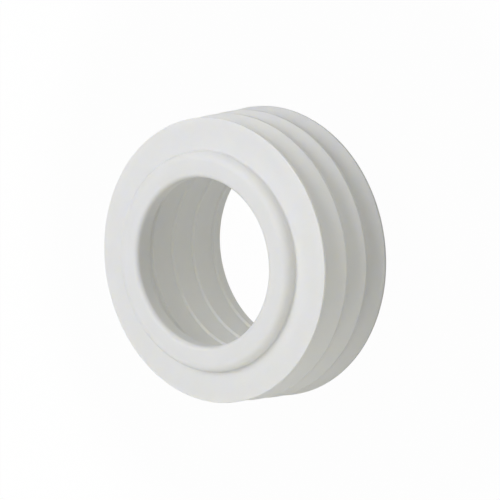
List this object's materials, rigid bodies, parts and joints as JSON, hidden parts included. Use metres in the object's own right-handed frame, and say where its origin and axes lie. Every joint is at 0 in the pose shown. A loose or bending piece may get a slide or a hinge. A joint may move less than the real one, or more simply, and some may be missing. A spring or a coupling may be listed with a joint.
{
  "type": "rubber flush cone",
  "caption": "Moulded white rubber ring with thin outer fins, a rounded nose collar, inner grip ribs and a stop lip, which seals a flush pipe into a toilet pan inlet.",
  "frame": {"origin": "centre of the rear end face, on the axis of the bore", "axes": "+Z along the bore axis, from the rear end face towards the nose collar; X and Y are free, as the ring is turned about Z"},
  "size_m": [0.0566, 0.0566, 0.0291],
  "materials": {
    "white_rubber": "matt moulded white rubber"
  },
  "bodies": {
    "root": {"flush_cone": "white_rubber"}
  },
  "joints": []
}
